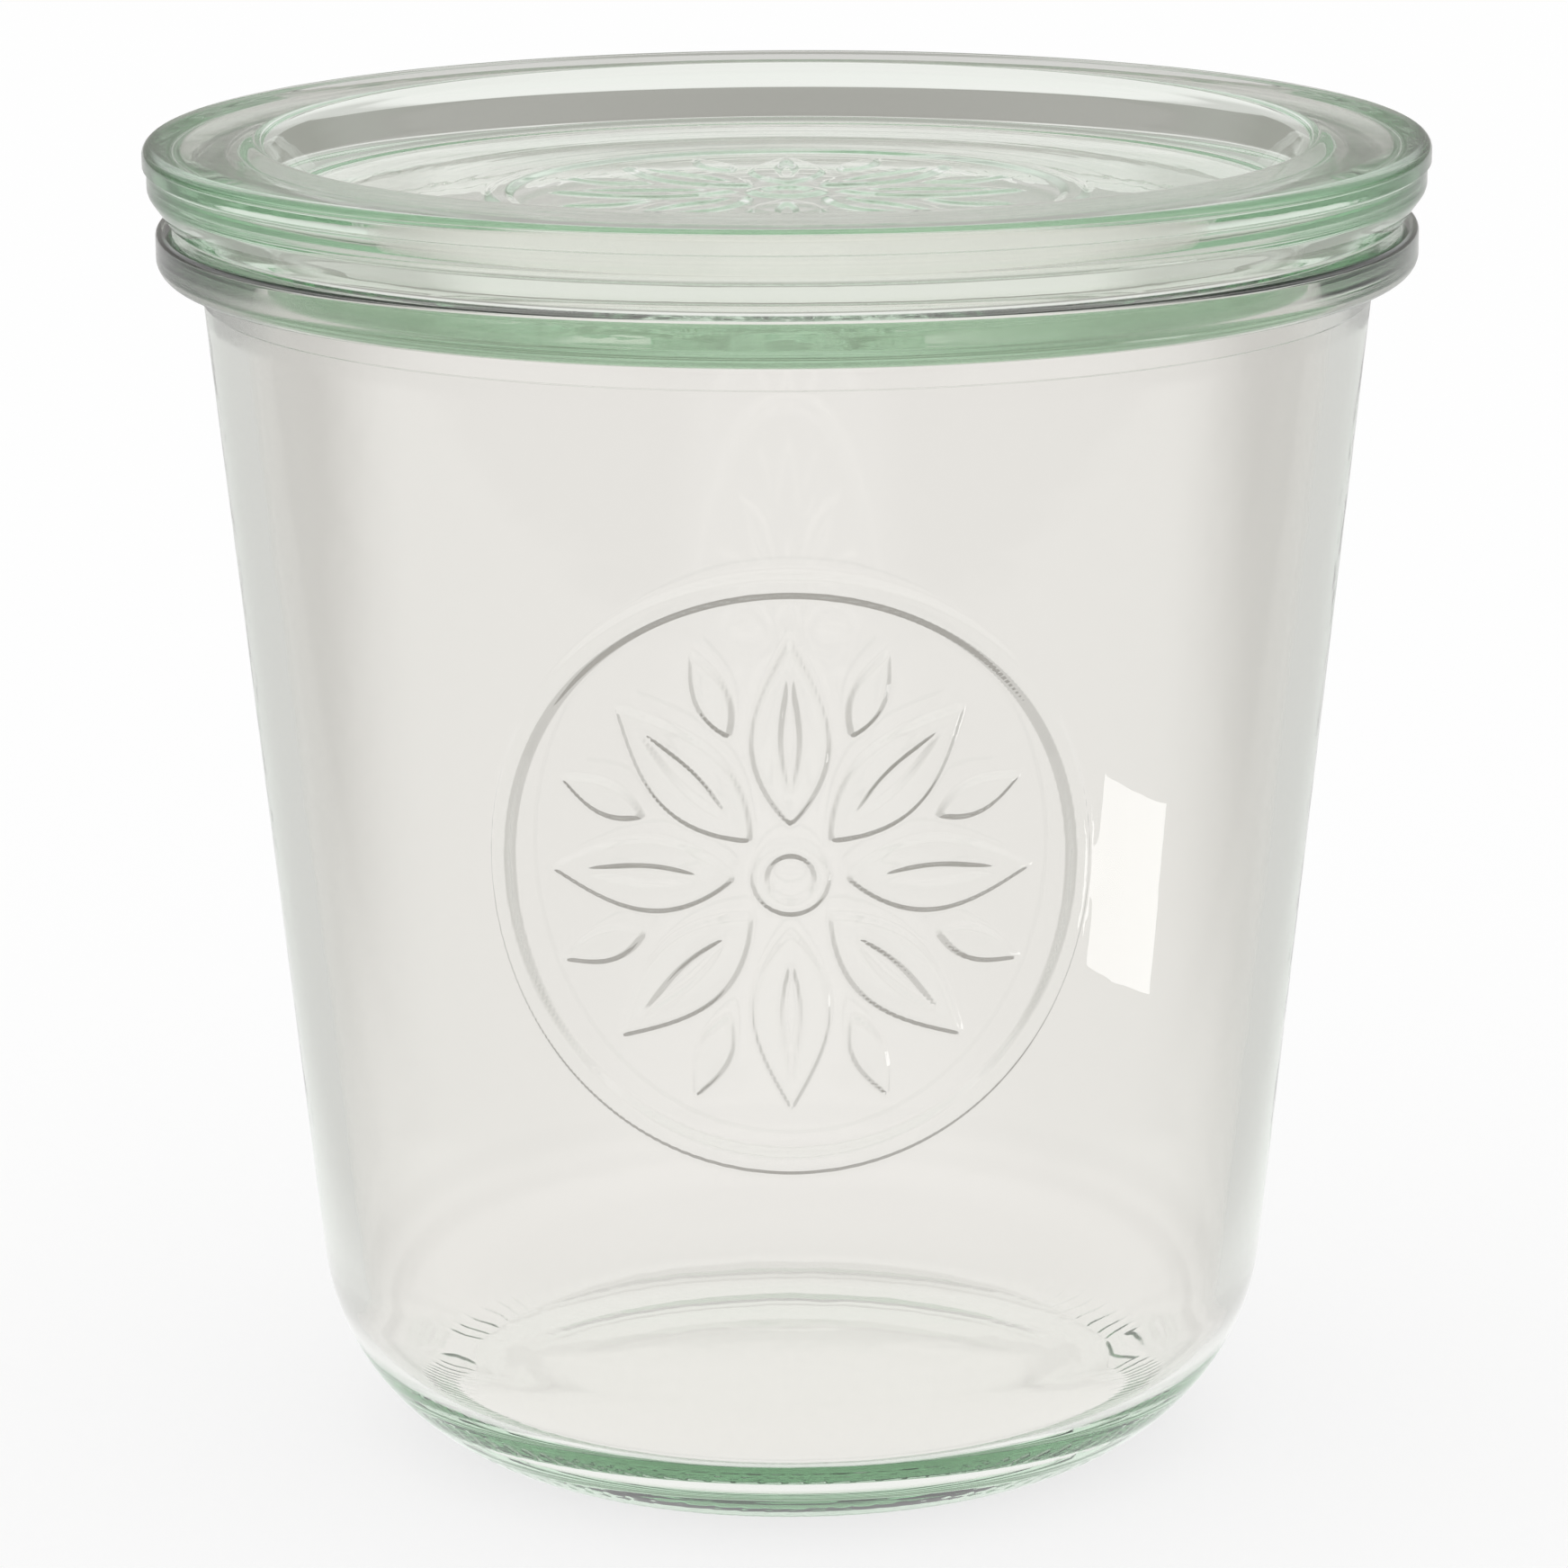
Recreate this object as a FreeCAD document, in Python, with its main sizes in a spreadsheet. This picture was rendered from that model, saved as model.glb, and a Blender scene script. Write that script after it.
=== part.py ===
import FreeCAD, Part
import math
import os
import Sketcher

# A pressed-glass canning jar: a tapered jar with a beaded rim, and a dished lid that rests
# on it by its own weight. Millimetres, +Z up, with the origin in the middle of the ring
# that the jar stands on.

DRIVING_SIZES = [
    # jar, outside
    ("jar_height", 107.0),         # standing ring to the sealing face on top of the rim
    ("neck_radius", 50.2),         # outside, under the rim bead
    ("neck_band_height", 1.1),     # straight band between the bead and the crease
    ("neck_crease_round", 20.0),   # soft crease where the taper runs into that band
    ("heel_top_radius", 41.5),     # outside, where the taper starts to turn in
    ("heel_height", 16.0),         # height of that turn
    ("bearing_radius", 30.5),      # outer edge of the standing ring
    ("bearing_round", 1.6),        # where the standing ring meets the heel
    ("bearing_width", 4.5),        # flat of the standing ring
    ("pushup_height", 0.5),        # rise of the hollow under the base
    # jar, inside
    ("wall", 3.2),                 # wall thickness, level across
    ("floor_height", 4.3),         # inside floor above the standing ring
    ("floor_round", 10.0),         # where the floor turns up into the wall
    # rim bead of the jar
    ("rim_height", 6.7),           # underside of the bead to its top
    ("rim_overhang", 3.8),         # the bead stands out from the neck by this
    ("rim_underside_round", 2.8),
    ("neck_round", 0.9),           # hollow round between the neck and the bead
    ("rim_edge_round", 0.6),       # outer edge of the sealing face
    ("mouth_round", 0.5),          # inner edge of the sealing face
    # lid, outside
    ("lid_height", 7.3),           # sealing face to the top of the lid
    ("lid_overhang", 1.0),         # the lid's band stands out past the bead by this
    ("lid_band_height", 2.0),      # widest band, down from the top
    ("lid_side_step", 0.35),       # the side below the band stands in by this
    ("lid_bevel_width", 2.6),      # level width, from the band in to the seat's edge
    ("lid_bevel_height", 3.2),     # bevel from the seat's edge up to the side
    ("lid_top_round", 1.0),
    ("lid_bevel_round", 1.5),
    # lid, underside
    ("plug_clearance", 0.6),       # the plug is smaller than the inside of the neck by this
    ("plug_depth", 3.7),           # plug below the sealing face
    ("plug_round", 0.5),           # lower edge of the plug
    ("plug_root_round", 0.5),      # hollow round between the plug and the seat
    # dish in the top of the lid
    ("lid_border_width", 10.3),    # level width, from the band in to the dish
    ("dish_depth", 5.2),
    ("dish_draft", 1.9),           # the dish's floor is smaller than its top by this
    ("dish_edge_round", 1.4),
    ("dish_floor_round", 0.9),
]

ORIGIN = (-1, 1)          # the sketch's own origin, as Sketcher counts it
VERTICAL_AXIS = -2
BORROWED = -3             # the first line brought in from another sketch
START, END, CENTRE = 1, 2, 3
EDGE_TOLERANCE = 0.01


def make_size_sheet(document):
    """The sheet that holds every driving size, each in a cell with its own alias."""
    sheet = document.addObject("Spreadsheet::Sheet", "Sizes")
    for row, (alias, size) in enumerate(DRIVING_SIZES, start=1):
        sheet.set("A%d" % row, alias)
        sheet.set("B%d" % row, str(size))
        sheet.setAlias("B%d" % row, alias)
    document.recompute()
    return sheet


class Profile:
    """A half section for turning: a sketch on the body's XZ plane, X the radius."""

    def __init__(self, body, name):
        self.sketch = body.newObject("Sketcher::SketchObject", name)
        planes = [plane for plane in body.Origin.OriginFeatures if plane.Role == "XZ_Plane"]
        self.sketch.AttachmentSupport = (planes[0], [""])
        self.sketch.MapMode = "FlatFace"

    def line(self, start, end, construction=False):
        segment = Part.LineSegment(FreeCAD.Vector(*start, 0), FreeCAD.Vector(*end, 0))
        return self.sketch.addGeometry(segment, construction)

    def arc(self, start, middle, end):
        points = [FreeCAD.Vector(*point, 0) for point in (start, middle, end)]
        return self.sketch.addGeometry(Part.Arc(*points), False)

    def borrow(self, profile, line):
        """Brings in a line of an earlier sketch, for this one to follow."""
        self.sketch.addExternal(profile.sketch.Name, "Edge%d" % (line + 1))
        return BORROWED

    def chain(self, *points):
        """Straight lines through the points, joined end to start; returns the lines."""
        lines = [self.line(start, end) for start, end in zip(points, points[1:])]
        for first, second in zip(lines, lines[1:]):
            self.rule("Coincident", first, END, second, START)
        return lines

    def rule(self, kind, *parts):
        return self.sketch.addConstraint(Sketcher.Constraint(kind, *parts))

    def flat(self, *lines):
        for line in lines:
            self.rule("Horizontal", line)

    def upright(self, *lines):
        for line in lines:
            self.rule("Vertical", line)

    def dimension(self, kind, start, end, formula):
        """A level or upright distance from start to end, bound to the size sheet."""
        span = self.sketch.getPoint(*end) - self.sketch.getPoint(*start)
        drawn = span.x if kind == "DistanceX" else span.y
        index = self.rule(kind, *start, *end, drawn)
        self.sketch.setExpression("Constraints[%d]" % index, formula)

    def radius(self, arc, formula):
        index = self.rule("Radius", arc, self.sketch.Geometry[arc].Radius)
        self.sketch.setExpression("Constraints[%d]" % index, formula)

    def across(self, start, end, formula):
        self.dimension("DistanceX", start, end, formula)

    def up(self, start, end, formula):
        self.dimension("DistanceY", start, end, formula)


def turn(body, profile, kind, name):
    """Turns a profile right round the axis, to add (Revolution) or cut away (Groove)."""
    feature = body.newObject("PartDesign::" + kind, name)
    feature.Profile = profile.sketch
    feature.ReferenceAxis = (profile.sketch, ["V_Axis"])
    feature.Angle = 360.0
    body.Document.recompute()
    return feature


def round_ring(body, name, radius, height, formula):
    """Rounds the circular edge of that radius and height on the body's last feature."""
    tip = body.Tip
    edges = []
    for number, edge in enumerate(tip.Shape.Edges, start=1):
        if edge.Degenerated or not isinstance(edge.Curve, Part.Circle):
            continue
        ring = edge.Curve
        off = max(abs(ring.Radius - radius), abs(ring.Center.z - height))
        if off < EDGE_TOLERANCE:
            edges.append("Edge%d" % number)
    if not edges:
        raise RuntimeError("%s: no edge at radius %.2f, height %.2f" % (name, radius, height))
    fillet = body.newObject("PartDesign::Fillet", name)
    fillet.Base = (tip, edges)
    fillet.setExpression("Radius", formula)
    body.Document.recompute()
    return fillet


def heel_arc_middle(foot, top, wall_run, wall_rise):
    """A point on the arc that leaves the foot and runs smoothly into the wall at the top."""
    length = math.hypot(wall_run, wall_rise)
    inward = (-wall_rise / length, wall_run / length)
    chord = (top[0] - foot[0], top[1] - foot[1])
    reach = inward[0] * chord[0] + inward[1] * chord[1]
    radius = -(chord[0] ** 2 + chord[1] ** 2) / (2 * reach)
    centre = (top[0] + radius * inward[0], top[1] + radius * inward[1])
    half = ((foot[0] + top[0]) / 2 - centre[0], (foot[1] + top[1]) / 2 - centre[1])
    stretch = radius / math.hypot(*half)
    return (centre[0] + half[0] * stretch, centre[1] + half[1] * stretch)


def tangent_point(start, centre, radius):
    """Where a line from the start touches the circle, on the side away from the axis."""
    across, up = centre[0] - start[0], centre[1] - start[1]
    distance = math.hypot(across, up)
    length = math.sqrt(distance ** 2 - radius ** 2)
    heading = math.atan2(up, across) - math.asin(radius / distance)
    return (start[0] + length * math.cos(heading), start[1] + length * math.sin(heading))


def make_jar(document, sheet):
    body = document.addObject("PartDesign::Body", "jar")
    body.Label = "jar"
    neck_height = sheet.jar_height - sheet.rim_height
    band_foot = neck_height - sheet.neck_band_height
    rim_radius = sheet.neck_radius + sheet.rim_overhang
    foot = (sheet.bearing_radius, 0.0)
    heel_top = (sheet.heel_top_radius, sheet.heel_height)
    crease_top = (sheet.neck_radius, band_foot)
    crease_centre = (sheet.neck_radius - sheet.neck_crease_round, band_foot)
    crease_foot = tangent_point(heel_top, crease_centre, sheet.neck_crease_round)
    taper_run = crease_foot[0] - heel_top[0]
    taper_rise = crease_foot[1] - heel_top[1]
    crease_turn = math.atan2(taper_run, taper_rise) / 2
    crease_middle = (crease_centre[0] + sheet.neck_crease_round * math.cos(crease_turn),
                     crease_centre[1] - sheet.neck_crease_round * math.sin(crease_turn))

    # outside: base, heel, tapered wall, neck band and rim bead
    outside = Profile(body, "jar_outside")
    base = outside.line((0.0, 0.0), foot)
    heel = outside.arc(foot, heel_arc_middle(foot, heel_top, taper_run, taper_rise), heel_top)
    wall = outside.line(heel_top, crease_foot)
    crease = outside.arc(crease_foot, crease_middle, crease_top)
    band, underside, bead, top, axis = outside.chain(
        crease_top, (sheet.neck_radius, neck_height),
        (rim_radius, neck_height), (rim_radius, sheet.jar_height),
        (0.0, sheet.jar_height), (0.0, 0.0))
    outside.rule("Coincident", base, START, *ORIGIN)
    outside.rule("Coincident", axis, END, base, START)
    outside.rule("Coincident", heel, START, base, END)
    outside.rule("Tangent", heel, END, wall, START)
    outside.rule("Tangent", wall, END, crease, START)
    outside.rule("Tangent", crease, END, band, START)
    outside.flat(base, underside, top)
    outside.upright(band, bead, axis)
    outside.across(ORIGIN, (base, END), "Sizes.bearing_radius")
    outside.across(ORIGIN, (wall, START), "Sizes.heel_top_radius")
    outside.up(ORIGIN, (wall, START), "Sizes.heel_height")
    outside.radius(crease, "Sizes.neck_crease_round")
    outside.across(ORIGIN, (band, START), "Sizes.neck_radius")
    outside.up((band, START), (band, END), "Sizes.neck_band_height")
    outside.across((underside, START), (underside, END), "Sizes.rim_overhang")
    outside.up((bead, START), (bead, END), "Sizes.rim_height")
    outside.up(ORIGIN, (bead, END), "Sizes.jar_height")
    turn(body, outside, "Revolution", "jar_blank")

    # inside: parallel to the tapered wall, from the rounded floor to the mouth
    slope = taper_run / taper_rise
    wall_angle = math.atan2(taper_rise, taper_run)
    gauge_foot = (crease_foot[0] - sheet.wall, crease_foot[1])
    floor_corner = gauge_foot[0] - slope * (crease_foot[1] - sheet.floor_height)
    mouth_radius = gauge_foot[0] + slope * (sheet.jar_height - crease_foot[1])
    reach = sheet.floor_round * math.tan(wall_angle / 2)
    floor_end = (floor_corner - reach, sheet.floor_height)
    round_centre = (floor_end[0], sheet.floor_height + sheet.floor_round)
    round_middle = (round_centre[0] + sheet.floor_round * math.sin(wall_angle / 2),
                    round_centre[1] - sheet.floor_round * math.cos(wall_angle / 2))
    side_foot = (floor_corner + reach * math.cos(wall_angle),
                 sheet.floor_height + reach * math.sin(wall_angle))
    inside = Profile(body, "jar_inside")
    outer = inside.borrow(outside, wall)
    gauge = inside.line(gauge_foot, crease_foot, construction=True)
    side, mouth, middle, floor = inside.chain(
        side_foot, (mouth_radius, sheet.jar_height), (0.0, sheet.jar_height),
        (0.0, sheet.floor_height), floor_end)
    corner = inside.arc(floor_end, round_middle, side_foot)
    inside.rule("Tangent", floor, END, corner, START)
    inside.rule("Tangent", corner, END, side, START)
    inside.rule("PointOnObject", floor, START, VERTICAL_AXIS)
    inside.rule("Coincident", gauge, END, outer, END)
    inside.rule("PointOnObject", gauge, START, side)
    inside.rule("Parallel", side, outer)
    inside.flat(floor, mouth, gauge)
    inside.upright(middle)
    inside.across((gauge, START), (gauge, END), "Sizes.wall")
    inside.radius(corner, "Sizes.floor_round")
    inside.up(ORIGIN, (floor, START), "Sizes.floor_height")
    inside.up(ORIGIN, (side, END), "Sizes.jar_height")
    turn(body, inside, "Groove", "jar_hollow")

    # the shallow domed hollow that leaves only a ring to stand on
    bearing_inner = sheet.bearing_radius - sheet.bearing_width
    dome_radius = (bearing_inner ** 2 + sheet.pushup_height ** 2) / (2 * sheet.pushup_height)
    dome_turn = math.asin(bearing_inner / dome_radius) / 2
    dome_middle = (dome_radius * math.sin(dome_turn),
                   sheet.pushup_height - dome_radius * (1 - math.cos(dome_turn)))
    under = Profile(body, "jar_pushup")
    rise, ground = (under.line((0.0, 0.0), (0.0, sheet.pushup_height)),
                    under.line((bearing_inner, 0.0), (0.0, 0.0)))
    dome = under.arc((bearing_inner, 0.0), dome_middle, (0.0, sheet.pushup_height))
    under.rule("Coincident", rise, START, *ORIGIN)
    under.rule("Coincident", ground, END, rise, START)
    under.rule("Coincident", dome, START, ground, START)
    under.rule("Coincident", dome, END, rise, END)
    under.rule("PointOnObject", dome, CENTRE, VERTICAL_AXIS)
    under.flat(ground)
    under.upright(rise)
    under.up(ORIGIN, (rise, END), "Sizes.pushup_height")
    under.across(ORIGIN, (ground, START), "Sizes.bearing_radius - Sizes.bearing_width")
    turn(body, under, "Groove", "jar_pushup_cut")

    # rounds, from the base up
    round_ring(body, "bearing_edge", sheet.bearing_radius, 0.0, "Sizes.bearing_round")
    round_ring(body, "bead_underside", rim_radius, neck_height, "Sizes.rim_underside_round")
    round_ring(body, "bead_root", sheet.neck_radius, neck_height, "Sizes.neck_round")
    round_ring(body, "bead_edge", rim_radius, sheet.jar_height, "Sizes.rim_edge_round")
    round_ring(body, "mouth_edge", mouth_radius, sheet.jar_height, "Sizes.mouth_round")
    return body


def make_lid(document, sheet):
    """The lid, drawn with its seat at height nothing and then set on the jar's rim."""
    body = document.addObject("PartDesign::Body", "lid")
    body.Label = "lid"
    lid_radius = sheet.neck_radius + sheet.rim_overhang + sheet.lid_overhang
    side_radius = lid_radius - sheet.lid_side_step
    seat_radius = lid_radius - sheet.lid_bevel_width
    plug_radius = sheet.neck_radius - sheet.wall - sheet.plug_clearance
    band_foot = sheet.lid_height - sheet.lid_band_height

    # outside: plug, seat, bevel, side and the wider band at the top
    outside = Profile(body, "lid_outside")
    bottom, plug, seat, bevel, side, step, band, top, axis = outside.chain(
        (0.0, -sheet.plug_depth), (plug_radius, -sheet.plug_depth), (plug_radius, 0.0),
        (seat_radius, 0.0), (side_radius, sheet.lid_bevel_height), (side_radius, band_foot),
        (lid_radius, band_foot), (lid_radius, sheet.lid_height), (0.0, sheet.lid_height),
        (0.0, -sheet.plug_depth))
    outside.rule("Coincident", axis, END, bottom, START)
    outside.rule("PointOnObject", bottom, START, VERTICAL_AXIS)
    outside.flat(bottom, seat, step, top)
    outside.upright(plug, side, band, axis)
    outside.across(ORIGIN, (plug, START), "Sizes.neck_radius - Sizes.wall - Sizes.plug_clearance")
    outside.up((plug, START), (plug, END), "Sizes.plug_depth")
    outside.up(ORIGIN, (seat, START), "0 mm")
    outside.across((bevel, START), (band, START), "Sizes.lid_bevel_width")
    outside.up(ORIGIN, (bevel, END), "Sizes.lid_bevel_height")
    outside.across((step, START), (step, END), "Sizes.lid_side_step")
    outside.up((band, START), (band, END), "Sizes.lid_band_height")
    outside.up(ORIGIN, (band, END), "Sizes.lid_height")
    outside.across(ORIGIN, (band, START),
                   "Sizes.neck_radius + Sizes.rim_overhang + Sizes.lid_overhang")
    turn(body, outside, "Revolution", "lid_blank")

    # the dish pressed into the top
    dish_radius = lid_radius - sheet.lid_border_width
    dish_floor = sheet.lid_height - sheet.dish_depth
    floor_radius = dish_radius - sheet.dish_draft
    dish = Profile(body, "lid_dish")
    mouth, slope, floor, middle = dish.chain(
        (0.0, sheet.lid_height), (dish_radius, sheet.lid_height), (floor_radius, dish_floor),
        (0.0, dish_floor), (0.0, sheet.lid_height))
    dish.rule("Coincident", middle, END, mouth, START)
    dish.rule("PointOnObject", mouth, START, VERTICAL_AXIS)
    dish.flat(mouth, floor)
    dish.upright(middle)
    dish.up(ORIGIN, (mouth, START), "Sizes.lid_height")
    dish.up((floor, END), (mouth, START), "Sizes.dish_depth")
    dish.across((slope, END), (slope, START), "Sizes.dish_draft")
    dish.across(ORIGIN, (slope, START),
                "Sizes.neck_radius + Sizes.rim_overhang + Sizes.lid_overhang"
                " - Sizes.lid_border_width")
    turn(body, dish, "Groove", "lid_dish_cut")

    # rounds, from the plug up
    round_ring(body, "plug_edge", plug_radius, -sheet.plug_depth, "Sizes.plug_round")
    round_ring(body, "plug_root", plug_radius, 0.0, "Sizes.plug_root_round")
    round_ring(body, "seat_edge", seat_radius, 0.0, "Sizes.lid_bevel_round")
    round_ring(body, "bevel_edge", side_radius, sheet.lid_bevel_height, "Sizes.lid_bevel_round")
    round_ring(body, "dish_floor_edge", floor_radius, dish_floor, "Sizes.dish_floor_round")
    round_ring(body, "dish_edge", dish_radius, sheet.lid_height, "Sizes.dish_edge_round")
    round_ring(body, "top_edge", lid_radius, sheet.lid_height, "Sizes.lid_top_round")

    body.setExpression(".Placement.Base.z", "Sizes.jar_height")
    return body


def check(document, bodies):
    """Stops on a failed feature, or on a body that isn't one sound solid."""
    for item in document.Objects:
        if {"Invalid", "Error"} & set(item.State):
            raise RuntimeError("%s failed: %s" % (item.Label, item.State))
    for body in bodies:
        shape = body.Shape
        if shape.isNull() or not shape.isValid() or len(shape.Solids) != 1:
            raise RuntimeError("%s is not one valid solid" % body.Label)


def main():
    os.makedirs("parts", exist_ok=True)
    document = FreeCAD.newDocument("canning_jar")
    sheet = make_size_sheet(document)
    bodies = [make_jar(document, sheet), make_lid(document, sheet)]
    document.recompute()
    check(document, bodies)
    for body in bodies:
        body.Shape.exportStep(os.path.join("parts", body.Label + ".step"))
        box = body.Shape.BoundBox
        print("%s: volume %.1f cm3, height %.2f to %.2f, width %.2f"
              % (body.Label, body.Shape.Volume / 1000, box.ZMin, box.ZMax, box.XLength))


main()
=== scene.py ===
import bisect
import cmath
import math

import bpy
import numpy as np
from mathutils import Matrix, Vector


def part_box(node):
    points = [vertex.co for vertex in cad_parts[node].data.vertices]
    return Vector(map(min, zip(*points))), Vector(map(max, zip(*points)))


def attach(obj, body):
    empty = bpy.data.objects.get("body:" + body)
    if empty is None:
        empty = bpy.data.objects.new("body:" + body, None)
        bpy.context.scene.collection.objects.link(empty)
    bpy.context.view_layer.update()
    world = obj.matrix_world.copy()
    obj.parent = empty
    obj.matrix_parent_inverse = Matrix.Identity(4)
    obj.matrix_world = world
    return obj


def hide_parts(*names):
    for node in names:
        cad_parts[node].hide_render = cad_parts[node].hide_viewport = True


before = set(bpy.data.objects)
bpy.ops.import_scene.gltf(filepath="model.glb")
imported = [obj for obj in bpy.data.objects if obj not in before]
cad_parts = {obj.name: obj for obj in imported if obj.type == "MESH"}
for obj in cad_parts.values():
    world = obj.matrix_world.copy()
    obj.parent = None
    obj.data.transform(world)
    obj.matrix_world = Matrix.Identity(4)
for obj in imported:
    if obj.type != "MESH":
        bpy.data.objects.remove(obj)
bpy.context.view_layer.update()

# A pressed-glass canning jar and its dished lid, turned from half sections, with a pressed
# rosette on the front of the jar and on the lid and a ring of ribs under the base.
# Metres, +Z up, the front of the jar towards -Y.

MM = 0.001

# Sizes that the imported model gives
JAR_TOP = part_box("jar")[1].z
RIM_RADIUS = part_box("jar")[1].x
LID_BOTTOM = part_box("lid")[0].z
LID_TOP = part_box("lid")[1].z
LID_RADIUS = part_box("lid")[1].x

# Jar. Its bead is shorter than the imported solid's, with a straight neck and a crease below.
NECK_RADIUS = 50.2 * MM
NECK_HEIGHT = JAR_TOP - 4.0 * MM          # underside of the rim bead
CREASE_HEIGHT = JAR_TOP - 6.1 * MM        # where the tapered wall meets the neck
CREASE_STEP = 0.12 * MM                   # the neck stands out from the wall by this much
CREASE_ROUND = 0.08 * MM
HEEL_TOP = complex(41.5, 16.0) * MM       # where the taper starts to turn in
BEARING_RADIUS = 30.5 * MM
BEARING_WIDTH = 4.5 * MM
PUSHUP_HEIGHT = 0.5 * MM
BEARING_ROUND = 1.6 * MM
WALL = 3.2 * MM
FLOOR_HEIGHT = 4.3 * MM
FLOOR_ROUND = 10.0 * MM
BEAD_UNDERSIDE_ROUND = 1.6 * MM
NECK_ROUND = 0.5 * MM
BEAD_EDGE_ROUND = 0.6 * MM
MOUTH_ROUND = 0.5 * MM

# Lid
SEAT_GAP = 0.05 * MM                      # film of air between the rim and the lid
PLUG_RADIUS = NECK_RADIUS - WALL - 0.6 * MM
PLUG_ROUND = 0.5 * MM
PLUG_ROOT_ROUND = 0.5 * MM
LID_SEAT_RADIUS = LID_RADIUS - 2.6 * MM
LID_SIDE_RADIUS = LID_RADIUS - 0.35 * MM
LID_BEVEL_HEIGHT = 3.2 * MM
LID_BEVEL_ROUND = 1.5 * MM
LID_BAND_HEIGHT = 2.0 * MM
LID_BAND_ROUND = 0.12 * MM
LID_TOP_ROUND = 1.0 * MM
DISH_RADIUS = LID_RADIUS - 10.3 * MM
DISH_DEPTH = 5.2 * MM
DISH_DRAFT = 1.9 * MM
DISH_EDGE_ROUND = 1.4 * MM
DISH_FLOOR_ROUND = 0.9 * MM

# Pressed ornament
ROSETTE_HEIGHT = 60.3 * MM                # its middle, above the standing ring
ROSETTE_RELIEF = 0.5 * MM
LID_ROSETTE_RELIEF = 0.2 * MM
ROSETTE_EDGE = 0.55 * MM                  # width of the slope round each raised part
ROSETTE_REACH = 26.5 * MM
RING_RADIUS = 24.7 * MM
RING_HALF_WIDTH = 0.9 * MM
BOSS_RADIUS = 2.5 * MM
BOSS_HALF_WIDTH = 0.6 * MM
PETALS = 8
LONG_PETAL = (4.6 * MM, 20.0 * MM, 3.1 * MM)    # from, to and half width
PETAL_VEIN = (7.5 * MM, 17.0 * MM, 0.75 * MM)
SHORT_PETAL = (13.0 * MM, 20.6 * MM, 1.35 * MM)
PETAL_LEAN = 0.85                         # under 1 brings the widest part nearer the root
RIB_COUNT = 100
RIB_DEPTH = 0.18 * MM
RIB_WIDTH = 0.7 * MM
RIBS_INNER = 29.8 * MM
RIBS_OUTER = 34.2 * MM
RIBS_WORN = 0.12                          # what is left of their depth at the front and back

# Unevenness of the pressed glass, which fades out towards the rim and the standing ring
INSIDE_RIPPLE = 0.012 * MM
OUTSIDE_RIPPLE = 0.008 * MM
LID_RIPPLE = 0.002 * MM
LID_STREAKS = 0.004 * MM                  # fine rings that the pressing leaves on the lid
RIPPLE_TOP = 92 * MM
RIPPLE_FADE = 22 * MM

# Fineness of the meshes
COLUMNS = 144
ROSETTE_COLUMNS = 13                      # columns each side of the front that it spans
ROSETTE_SPLIT = 7                         # parts that each of those columns is split into
RIB_SPLIT = 5
DISC_SPLIT = 4
DISC_MIDDLE = 2.0 * MM                    # too near the lid's axis to need small steps
DISC_SPLIT_FROM = 8.0 * MM                # and too near it to need split columns
ARC_TURN = math.radians(5)
FINE_STEP = 0.34 * MM
RIB_STEP = 0.5 * MM
COARSE_STEP = 4.0 * MM


# ---------------------------------------------------------------- half sections
# A half section is a list of complex numbers, radius + 1j * height, in the order that has
# the glass on its left.

def arc(start, end, turn, steps=16):
    """Points from start to end on the arc that turns left by that angle."""
    shares = [step / steps for step in range(steps + 1)]
    return [start + (end - start) * math.sin(share * turn / 2) / math.sin(turn / 2)
            * cmath.exp(0.5j * turn * (share - 1)) for share in shares]


def rounded(before, corner, after, radius):
    """Points of the round of that radius on a corner."""
    entry = (corner - before) / abs(corner - before)
    leave = (after - corner) / abs(after - corner)
    turn = cmath.phase(leave / entry)
    reach = radius * math.tan(abs(turn) / 2)
    steps = max(2, math.ceil(abs(turn) / ARC_TURN))
    return arc(corner - entry * reach, corner + leave * reach, turn, steps)


def outline(*corners):
    """Points through the corners, each a point or a (point, round) pair."""
    places = [corner[0] if isinstance(corner, tuple) else corner for corner in corners]
    points = [places[0]]
    for index in range(1, len(corners) - 1):
        if isinstance(corners[index], tuple):
            points += rounded(places[index - 1], places[index], places[index + 1],
                              corners[index][1])
        else:
            points.append(places[index])
    return points + [places[-1]]


def filled(points, step_at):
    """The same outline with more points where two are further apart than step_at allows."""
    close = [points[0]]
    for start, end in zip(points, points[1:]):
        pieces = max(1, math.ceil(abs(end - start) / step_at((start + end) / 2)))
        close += [start + (end - start) * piece / pieces for piece in range(1, pieces + 1)]
    return close


# ---------------------------------------------------------------- turned meshes

def even_columns(split=1):
    return [index / split for index in range(COLUMNS * split)]


def front_columns():
    """Whole columns all round, split finely across the front."""
    return [column for column in even_columns(ROSETTE_SPLIT)
            if column.is_integer() or min(column, COLUMNS - column) < ROSETTE_COLUMNS]


class Row:
    """Vertices round one circle, in order of their columns."""

    def __init__(self, columns, first):
        self.columns = columns
        self.vertices = list(range(first, first + len(columns)))

    def between(self, start, end):
        """The vertices from one column to another, both included."""
        begin = bisect.bisect_left(self.columns, start)
        finish = bisect.bisect_left(self.columns, end)
        closing = bisect.bisect_left(self.columns, end % COLUMNS)
        return self.vertices[begin:finish] + [self.vertices[closing]]


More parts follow.
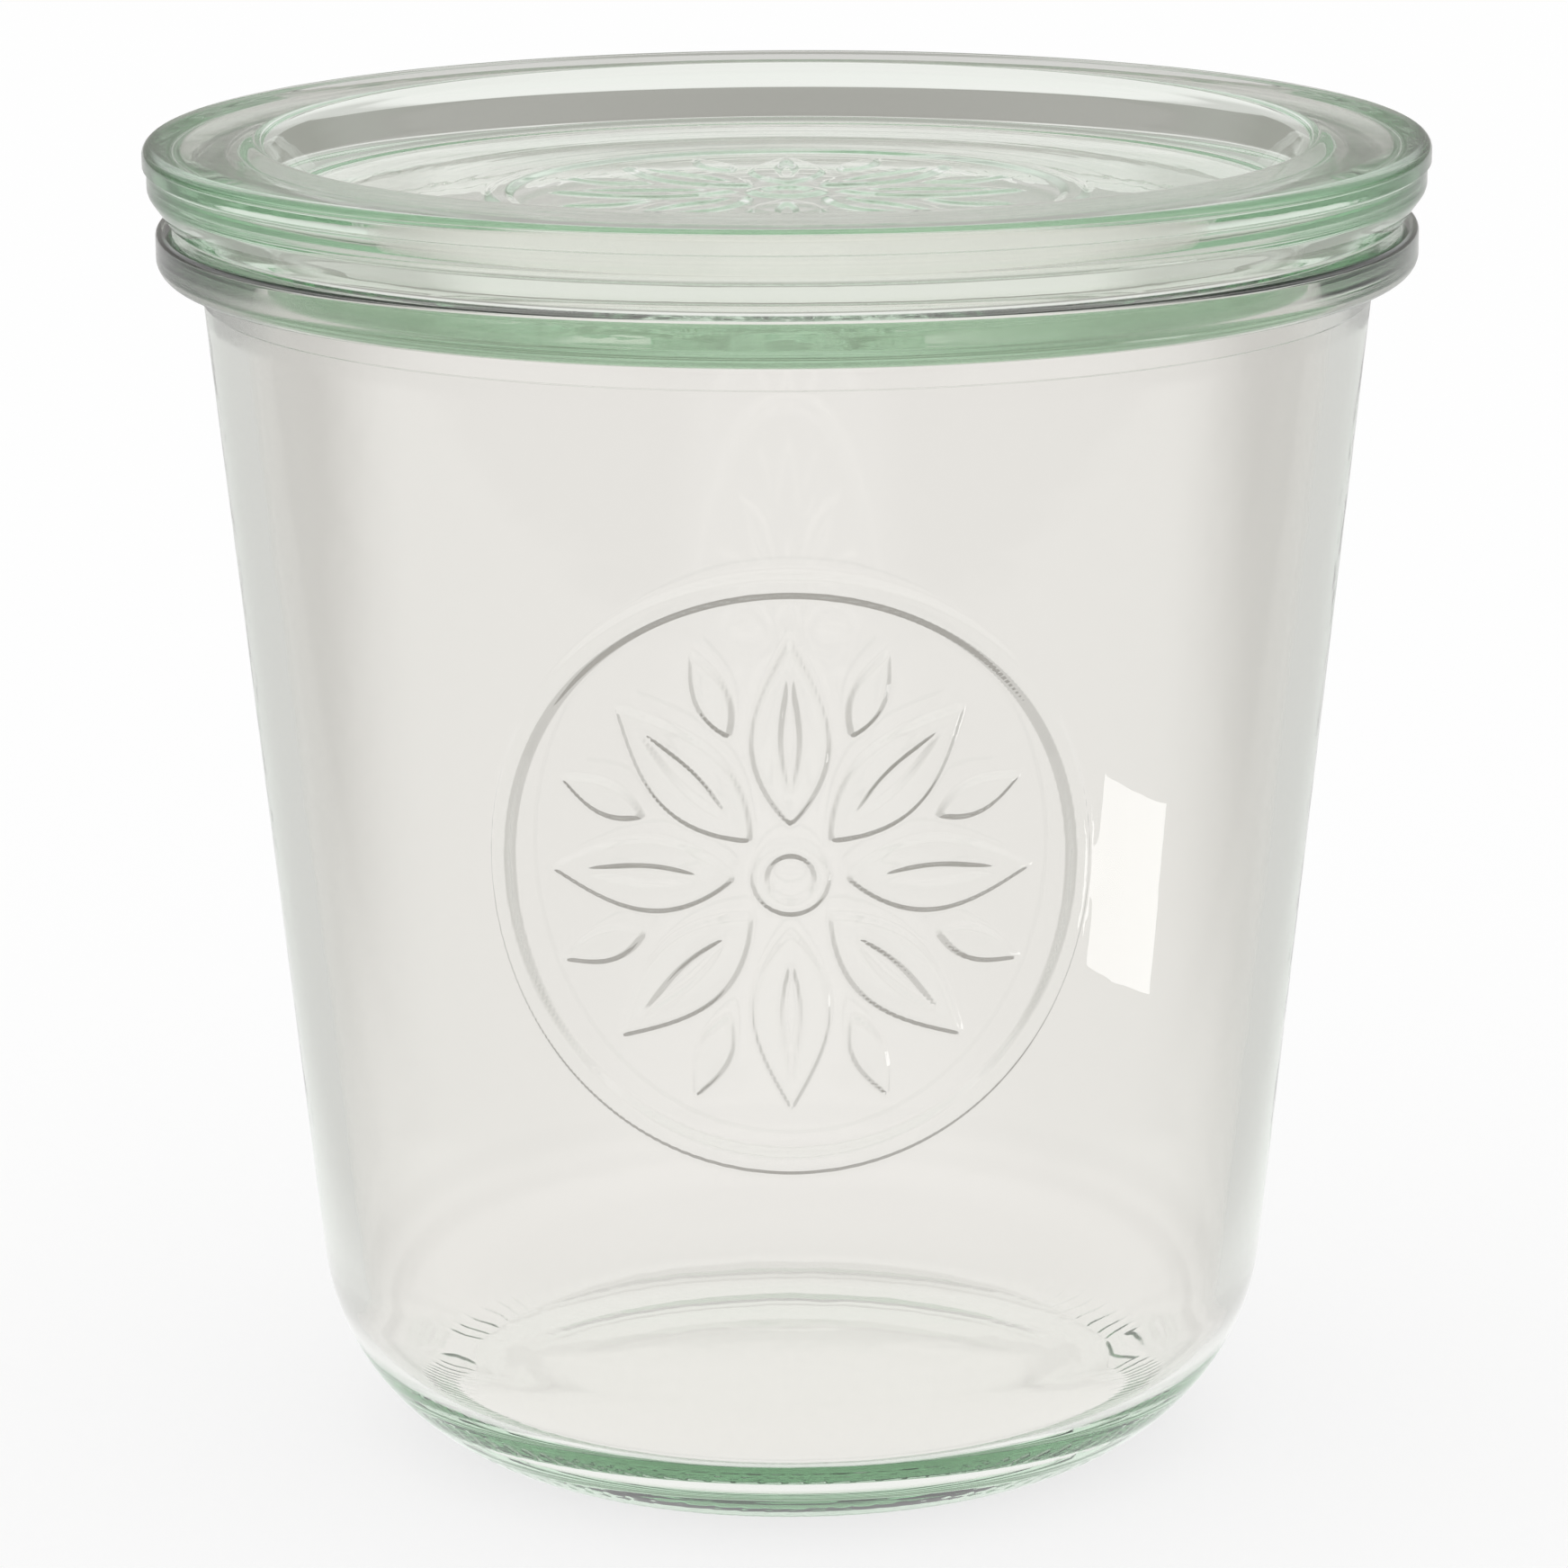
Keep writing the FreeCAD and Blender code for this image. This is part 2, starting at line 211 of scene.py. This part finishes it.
def join_rows(low, high):
    """Faces between two rows, of which one may be split more finely; a row may be a pole."""
    if len(low.columns) == 1:
        ends = high.vertices[1:] + high.vertices[:1]
        return [(low.vertices[0], end, start) for start, end in zip(high.vertices, ends)]
    if len(high.columns) == 1:
        ends = low.vertices[1:] + low.vertices[:1]
        return [(start, end, high.vertices[0]) for start, end in zip(low.vertices, ends)]
    marks = sorted(set(low.columns) & set(high.columns))
    return [low.between(start, end) + high.between(start, end)[::-1]
            for start, end in zip(marks, marks[1:] + [COLUMNS])]


def turned(name, points, columns_at, relief):
    """A closed turned solid. relief(place, angles) is how far its skin stands out."""
    vertices, rows = [], []
    for index, place in enumerate(points):
        ahead = points[min(index + 1, len(points) - 1)]
        behind = points[max(index - 1, 0)]
        outward = -1j * (ahead - behind) / abs(ahead - behind)
        columns = columns_at(place) if place.real > 0 else [0]
        angles = np.array(columns) * (2 * math.pi / COLUMNS)
        angles = (angles + math.pi) % (2 * math.pi) - math.pi
        stand = relief(place, angles) if place.real > 0 else 0.0 * angles
        radius = place.real + outward.real * stand
        height = place.imag + outward.imag * stand
        rows.append(Row(columns, len(vertices)))
        vertices += np.stack([radius * np.sin(angles), -radius * np.cos(angles), height],
                             axis=1).tolist()
    faces = [face for low, high in zip(rows, rows[1:]) for face in join_rows(low, high)]
    mesh = bpy.data.meshes.new(name)
    mesh.from_pydata(vertices, [], faces)
    mesh.validate()
    mesh.shade_smooth()
    piece = bpy.data.objects.new(name, mesh)
    bpy.context.scene.collection.objects.link(piece)
    return piece


# ---------------------------------------------------------------- pressed ornament

def ease(share):
    share = np.clip(share, 0.0, 1.0)
    return share * share * (3 - 2 * share)


def raised(inside_by):
    """1 on the flat top of a raised part, 0 outside, from the distance inside its edge."""
    return ease(inside_by / ROSETTE_EDGE + 0.5)


def petal(along, across, root, tip, half_width):
    """Distance inside a pointed petal that lies along the first axis."""
    share = np.clip((along - root) / (tip - root), 0.0, 1.0)
    width = half_width * np.sin(math.pi * share ** PETAL_LEAN)
    return np.minimum(width - np.abs(across), np.minimum(along - root, tip - along))


def rosette(right, up):
    """Height, from 0 to 1, of a rosette of long and short petals in a plain ring."""
    radius = np.hypot(right, up)
    height = raised(RING_HALF_WIDTH - np.abs(radius - RING_RADIUS))
    height = np.maximum(height, raised(BOSS_HALF_WIDTH - np.abs(radius - BOSS_RADIUS)))
    for index in range(2 * PETALS):
        angle = math.pi * index / PETALS
        along = right * math.sin(angle) + up * math.cos(angle)
        across = right * math.cos(angle) - up * math.sin(angle)
        if index % 2 == 0:
            inside = petal(along, across, *LONG_PETAL)
            inside = np.minimum(inside, -petal(along, across, *PETAL_VEIN))
        else:
            inside = petal(along, across, *SHORT_PETAL)
        height = np.maximum(height, raised(inside))
    return height


def ribs(radius, angles):
    """Depth, from 0 to 1, of short furrows that cross the standing ring."""
    reach = ease((radius - RIBS_INNER) / MM) * ease((RIBS_OUTER - radius) / MM)
    reach = reach * (RIBS_WORN + (1 - RIBS_WORN) * np.abs(np.sin(angles)) ** 4)
    wander = 0.25 * np.sin(7 * angles + 900 * radius) + 0.2 * np.sin(11 * angles)
    share = (angles * RIB_COUNT / (2 * math.pi) + wander) % 1.0
    from_middle = np.abs(share - 0.5) * 2 * math.pi * radius / RIB_COUNT
    return reach * ease(1 - from_middle / RIB_WIDTH * 2)


def ripple(place, angles, phase):
    """Unevenness of pressed glass, from -1 to 1."""
    along = place.imag + place.real
    waves = ((3, 61, 0.30), (5, 97, 0.25), (8, 143, 0.2), (13, 211, 0.15), (19, 337, 0.1))
    return sum(size * np.sin(turns * angles + rate * along + phase * turns)
               for turns, rate, size in waves)


def streaks(place):
    """Fine rings that the pressing leaves in the lid, from -1 to 1."""
    along = (place.real + 0.7 * place.imag) / MM
    waves = ((5.3, 0.4), (3.1, 0.35), (9.7, 0.15), (1.3, 0.1))
    return sum(size * math.sin(rate * along) for rate, size in waves)


# ---------------------------------------------------------------- jar and lid

def wall_radius(height):
    """Outside of the tapered wall."""
    slope = (NECK_RADIUS - HEEL_TOP.real) / (CREASE_HEIGHT - HEEL_TOP.imag)
    return HEEL_TOP.real + slope * (height - HEEL_TOP.imag)


def on_front(place):
    """Whether a row of the outside lies beside the rosette."""
    outside = place.real > wall_radius(place.imag) - WALL / 2
    return outside and abs(place.imag - ROSETTE_HEIGHT) < ROSETTE_REACH


def on_ribs(place):
    """Whether a row lies across the ribs round the standing ring."""
    return place.imag < FLOOR_HEIGHT and RIBS_INNER - RIB_STEP < place.real < RIBS_OUTER + RIB_STEP


def make_jar():
    bearing_inner = BEARING_RADIUS - BEARING_WIDTH
    foot = complex(BEARING_RADIUS, 0.0)
    crown = complex(0.0, PUSHUP_HEIGHT)
    dome = arc(crown, complex(bearing_inner, 0.0), 2 * cmath.phase(bearing_inner - crown))
    crease = complex(NECK_RADIUS - CREASE_STEP, CREASE_HEIGHT - CREASE_STEP)
    heel_turn = 2 * (cmath.phase(crease - HEEL_TOP) - cmath.phase(HEEL_TOP - foot))
    heel = arc(foot, HEEL_TOP, heel_turn)

    def inner(height):
        return complex(wall_radius(height) - WALL, height)

    points = outline(
        *dome, (foot, BEARING_ROUND), *heel[1:],
        (crease, CREASE_ROUND), (complex(NECK_RADIUS, CREASE_HEIGHT), CREASE_ROUND),
        (complex(NECK_RADIUS, NECK_HEIGHT), NECK_ROUND),
        (complex(RIM_RADIUS, NECK_HEIGHT), BEAD_UNDERSIDE_ROUND),
        (complex(RIM_RADIUS, JAR_TOP), BEAD_EDGE_ROUND), (inner(JAR_TOP), MOUTH_ROUND),
        (inner(FLOOR_HEIGHT), FLOOR_ROUND), complex(0.0, FLOOR_HEIGHT))

    def step_at(place):
        if on_ribs(place):
            return RIB_STEP
        return FINE_STEP if on_front(place) else COARSE_STEP

    def columns_at(place):
        if on_ribs(place):
            return even_columns(RIB_SPLIT)
        return front_columns() if on_front(place) else even_columns()

    def relief(place, angles):
        inside = place.real < wall_radius(place.imag) - WALL / 2 and place.imag > FLOOR_HEIGHT / 2
        calm = ease((RIPPLE_TOP - place.imag) / RIPPLE_FADE) * ease(place.imag / RIPPLE_FADE)
        depth = INSIDE_RIPPLE if inside else OUTSIDE_RIPPLE
        stand = depth * calm * ripple(place, angles, 1.0 if inside else 2.3)
        if on_ribs(place):
            stand = -RIB_DEPTH * ribs(place.real, angles)
        if on_front(place):
            right = place.real * angles
            stand += ROSETTE_RELIEF * rosette(right, place.imag - ROSETTE_HEIGHT)
        return stand

    return turned("glass_jar", filled(points, step_at), columns_at, relief)


def make_lid():
    seat = JAR_TOP + SEAT_GAP
    bevel_top = JAR_TOP + LID_BEVEL_HEIGHT
    band_foot = LID_TOP - LID_BAND_HEIGHT
    dish_floor = LID_TOP - DISH_DEPTH
    points = outline(
        complex(0.0, LID_BOTTOM), (complex(PLUG_RADIUS, LID_BOTTOM), PLUG_ROUND),
        (complex(PLUG_RADIUS, seat), PLUG_ROOT_ROUND),
        (complex(LID_SEAT_RADIUS, seat), LID_BEVEL_ROUND),
        (complex(LID_SIDE_RADIUS, bevel_top), LID_BEVEL_ROUND),
        (complex(LID_SIDE_RADIUS, band_foot), LID_BAND_ROUND),
        (complex(LID_RADIUS, band_foot), LID_BAND_ROUND),
        (complex(LID_RADIUS, LID_TOP), LID_TOP_ROUND),
        (complex(DISH_RADIUS, LID_TOP), DISH_EDGE_ROUND),
        (complex(DISH_RADIUS - DISH_DRAFT, dish_floor), DISH_FLOOR_ROUND),
        complex(0.0, dish_floor))

    def on_disc(place):
        return place.imag > seat and DISC_MIDDLE < place.real < ROSETTE_REACH

    def step_at(place):
        return FINE_STEP if place.imag > seat else COARSE_STEP

    def columns_at(place):
        split = on_disc(place) and place.real > DISC_SPLIT_FROM
        return even_columns(DISC_SPLIT if split else 1)

    def relief(place, angles):
        if place.imag <= seat and place.real > PLUG_RADIUS - MM:
            return 0.0 * angles
        stand = LID_RIPPLE * (ripple(place, angles, 4.1) - 1)
        if place.imag > seat:
            stand += LID_STREAKS * (streaks(place) - 1)
        if on_disc(place):
            right, up = place.real * np.sin(angles), place.real * np.cos(angles)
            stand += LID_ROSETTE_RELIEF * rosette(right, up)
        return stand

    return turned("glass_lid", filled(points, step_at), columns_at, relief)


# ---------------------------------------------------------------- shaders

class Value:
    """A socket of numbers, so that shader maths can be written as an expression."""

    def __init__(self, shader, socket):
        self.shader, self.socket = shader, socket

    def _math(self, operation, *inputs):
        node = self.shader.node("ShaderNodeMath", {"operation": operation},
                                dict(enumerate(inputs)))
        return Value(self.shader, node.outputs[0])

    def __add__(self, other):
        return self._math("ADD", self, other)

    def __sub__(self, other):
        return self._math("SUBTRACT", self, other)

    def __rsub__(self, other):
        return self._math("SUBTRACT", other, self)

    def __mul__(self, other):
        return self._math("MULTIPLY", self, other)

    def absolute(self):
        return self._math("ABSOLUTE", self)

    def at_most(self, other):
        return self._math("MINIMUM", self, other)

    def at_least(self, other):
        return self._math("MAXIMUM", self, other)

    __radd__ = __add__
    __rmul__ = __mul__


class Shader:
    """The node tree of a material or of the world."""

    def __init__(self, owner):
        self.owner = owner
        owner.use_nodes = True
        self.tree = owner.node_tree
        self.tree.nodes.clear()

    def node(self, kind, settings=None, inputs=None):
        """Adds a node: its settings first, then the values or links of its sockets."""
        node = self.tree.nodes.new(kind)
        for name, setting in (settings or {}).items():
            setattr(node, name, setting)
        for name, value in (inputs or {}).items():
            socket = node.inputs[name]
            if isinstance(value, Value):
                self.tree.links.new(value.socket, socket)
            elif isinstance(value, bpy.types.NodeSocket):
                self.tree.links.new(value, socket)
            else:
                socket.default_value = value
        return node

    def value(self, node, output=0):
        return Value(self, node.outputs[output])

    def mix_colours(self, share, first, second):
        """The first colour where the share is 0, the second where it is 1."""
        return self.node("ShaderNodeMix", {"data_type": "RGBA"},
                         {0: share, 6: first, 7: second}).outputs[2]

    def seen_directly(self):
        """1 for what the camera sees itself, past the glass."""
        return self.value(self.node("ShaderNodeLightPath"), "Is Camera Ray")

    def seen_in_glass(self):
        """1 for what is seen in a reflection or through glass."""
        path = self.node("ShaderNodeLightPath")
        glossy = self.value(path, "Is Glossy Ray")
        return glossy.at_least(self.value(path, "Is Transmission Ray"))


def soft_step(value, low, high):
    """0 below the low value, 1 above the high one, and smooth between."""
    share = ((value - low) * (1 / (high - low))).at_least(0.0).at_most(1.0)
    return share * share * (3.0 - 2.0 * share)


GLASS_IOR = 1.52
GLASS_TINT = (0.935, 0.912, 0.900, 1.0)
GREEN_ABSORPTION = (0.35, 0.77, 0.44, 1.0)
GREEN_DENSITY = 10.0                      # per metre
MOST_BOUNCES = 24                         # light goes round many times inside thick glass
FROST_LOW, FROST_HIGH = 98.5 * MM, 105.5 * MM   # heights between which patches are worn dull
FROST_ROUGHNESS = 0.18
FROST_SCALE = 26.0
FROST_BARE, FROST_FULL = 0.36, 0.66       # noise below and above which a patch is clear or dull
SKIN_SCALE = 160.0
SKIN_BUMP = 0.06
SKIN_DEPTH = 0.2 * MM
HAZE_SCALE = 45.0
HAZE_START = 0.45
HAZE_GAIN = 0.08
HAZE_MOST = 0.03


def pressed_glass():
    """Clear soda-lime glass, faintly green in its depth, with a slightly uneven skin."""
    material = bpy.data.materials.new("pressed_clear_glass")
    shader = Shader(material)
    place = shader.node("ShaderNodeTexCoord").outputs["Object"]

    def noise(scale, detail, roughness):
        return shader.value(shader.node("ShaderNodeTexNoise", None, {
            "Vector": place, "Scale": scale, "Detail": detail, "Roughness": roughness}))

    bump = shader.node("ShaderNodeBump", None, {
        "Height": noise(SKIN_SCALE, 2.0, 0.5), "Strength": SKIN_BUMP, "Distance": SKIN_DEPTH})
    haze = (noise(HAZE_SCALE, 3.0, 0.6) - HAZE_START) * HAZE_GAIN
    haze = haze.at_least(0.0).at_most(HAZE_MOST)
    rise = shader.value(shader.node("ShaderNodeSeparateXYZ", None, {0: place}), "Z")
    bead = (soft_step(rise, FROST_LOW, FROST_LOW + MM)
            * (1.0 - soft_step(rise, FROST_HIGH - MM, FROST_HIGH)))
    patches = soft_step(noise(FROST_SCALE, 2.0, 0.5), FROST_BARE, FROST_FULL)
    glass = shader.node("ShaderNodeBsdfPrincipled", None, {
        "Base Color": GLASS_TINT,
        "Roughness": haze + bead * patches * FROST_ROUGHNESS,
        "IOR": GLASS_IOR,
        "Transmission Weight": 1.0,
        "Normal": bump.outputs["Normal"]})
    depth = shader.node("ShaderNodeVolumeAbsorption", None,
                        {"Color": GREEN_ABSORPTION, "Density": GREEN_DENSITY})
    shader.node("ShaderNodeOutputMaterial", None,
                {"Surface": glass.outputs["BSDF"], "Volume": depth.outputs["Volume"]})
    return material


# ---------------------------------------------------------------- studio

SWEEP_REACH = 6.0
SWEEP_DROP = 0.05 * MM
WHITE = (1.0, 1.0, 1.0, 1.0)
PAPER_WHITE = (0.97, 0.97, 0.97, 1.0)
PAPER_GLOW = 0.75                         # the rest of its brightness is lit, and takes the shadow
STUDIO_GREY = (0.30, 0.29, 0.27, 1.0)     # the darkest that the glass finds round it; on the floor it is painted shade
PAPER_HALF = 0.032                        # white paper each side of the jar, with painted shade beyond it that only the glass sees
PAPER_SPREAD = 0.12                       # and wider by this share of the way back
PAPER_BLEND = 0.05
SIDE_SHADE = 0.40
FAR_SHADE = 0.85
FAR_LOW, FAR_HIGH = 1.2, 3.5              # distances that the floor greys over
HORIZON_LOW, HORIZON_HIGH = 0.13, 0.26    # sines of the heights that the band fades over
CEILING_LOW, CEILING_HIGH = 0.45, 0.8
CEILING_SHADE = 0.7
LAMP_PLACE = (0.127, -0.052, 0.0135)      # low on the right, out of the camera's view
LAMP_TARGET = (0.028, -0.036, 0.056)
LAMP_SIZE = (0.037, 0.019)
LAMP_POWER = 0.0075
CAMERA_DISTANCE = 0.560
CAMERA_HEIGHT = 0.1933
CAMERA_SIDE = -0.0005
CAMERA_PITCH = 0.239
CAMERA_ROLL = -0.005
CAMERA_LENS = 151.07


def make_floor():
    """White paper under and behind the jar, with painted shade that only reflections and the glass
    see, greyer off to the sides and far away.
    """
    mesh = bpy.data.meshes.new("floor")
    corners = [(-1, -1), (1, -1), (1, 1), (-1, 1)]
    mesh.from_pydata([(SWEEP_REACH * x, SWEEP_REACH * y, -SWEEP_DROP) for x, y in corners],
                     [], [(0, 1, 2, 3)])
    floor = bpy.data.objects.new("floor", mesh)
    bpy.context.scene.collection.objects.link(floor)
    shader = Shader(bpy.data.materials.new("white_sweep"))
    place = shader.node("ShaderNodeTexCoord").outputs["Object"]
    parts = shader.node("ShaderNodeSeparateXYZ", None, {0: place})
    aside = shader.value(parts, "X").absolute()
    along = shader.value(parts, "Y").absolute()
    far = shader.value(shader.node("ShaderNodeVectorMath", {"operation": "LENGTH"}, {0: place}),
                       "Value")
    # painted shade, seen only in reflections and through the glass: greyer off to the sides and
    # far away
    shade = soft_step(aside - along * PAPER_SPREAD, PAPER_HALF, PAPER_HALF + PAPER_BLEND)
    shade = (shade * SIDE_SHADE).at_least(soft_step(far, FAR_LOW, FAR_HIGH) * FAR_SHADE)
    in_glass = shader.seen_in_glass()
    paper = shader.node("ShaderNodeBsdfDiffuse", None, {"Color": PAPER_WHITE})
    glow = shader.node("ShaderNodeEmission", None, {
        "Color": shader.mix_colours(shade * in_glass, WHITE, STUDIO_GREY), "Strength": 1.0})
    mixed = shader.node("ShaderNodeMixShader", None, {
        0: (shader.seen_directly() * PAPER_GLOW).at_least(in_glass),
        1: paper.outputs[0], 2: glow.outputs[0]})
    shader.node("ShaderNodeOutputMaterial", None, {"Surface": mixed.outputs[0]})
    mesh.materials.append(shader.owner)


def make_world():
    """A soft white room, in which the glass finds a greyer horizon and ceiling."""
    world = bpy.data.worlds.new("studio")
    bpy.context.scene.world = world
    shader = Shader(world)
    toward = shader.node("ShaderNodeTexCoord").outputs["Generated"]
    rise = shader.value(shader.node("ShaderNodeSeparateXYZ", None, {0: toward}), "Z")
    haze = (1.0 - soft_step(rise.absolute(), HORIZON_LOW, HORIZON_HIGH)) * FAR_SHADE
    haze = haze.at_least(soft_step(rise, CEILING_LOW, CEILING_HIGH) * CEILING_SHADE)
    walls = shader.mix_colours(haze * shader.seen_in_glass(), WHITE, STUDIO_GREY)
    room = shader.node("ShaderNodeBackground", None, {"Color": walls, "Strength": 1.0})
    shader.node("ShaderNodeOutputWorld", None, {"Surface": room.outputs[0]})


def make_lamp():
    """A small area light that shows only as a highlight on the right of the jar."""
    lamp = bpy.data.lights.new("low_light_right", "AREA")
    lamp.shape = "RECTANGLE"
    lamp.size, lamp.size_y = LAMP_SIZE
    lamp.energy = LAMP_POWER
    piece = bpy.data.objects.new("low_light_right", lamp)
    piece.visible_transmission = False
    piece.visible_diffuse = False
    away = Vector(LAMP_PLACE) - Vector(LAMP_TARGET)
    turn = away.to_track_quat("Z", "Y").to_matrix().to_4x4()
    piece.matrix_world = Matrix.Translation(LAMP_PLACE) @ turn
    bpy.context.scene.collection.objects.link(piece)


def make_camera():
    camera = bpy.data.cameras.new("camera")
    camera.lens = CAMERA_LENS
    camera.sensor_width = 36.0
    camera.clip_end = 50.0
    piece = bpy.data.objects.new("camera", camera)
    piece.matrix_world = (
        Matrix.Translation((CAMERA_SIDE, -CAMERA_DISTANCE, CAMERA_HEIGHT))
        @ Matrix.Rotation(math.pi / 2 - CAMERA_PITCH, 4, "X")
        @ Matrix.Rotation(CAMERA_ROLL, 4, "Z"))
    bpy.context.scene.collection.objects.link(piece)
    bpy.context.scene.camera = piece


def main():
    glass = pressed_glass()
    for node, make in (("jar", make_jar), ("lid", make_lid)):
        piece = make()
        piece.data.materials.append(glass)
        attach(piece, "root")
        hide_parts(node)
    make_floor()
    make_world()
    make_lamp()
    make_camera()
    scene = bpy.context.scene
    scene.view_settings.view_transform = "Standard"
    scene.cycles.max_bounces = MOST_BOUNCES
    scene.cycles.transmission_bounces = MOST_BOUNCES
    scene.cycles.glossy_bounces = MOST_BOUNCES


main()
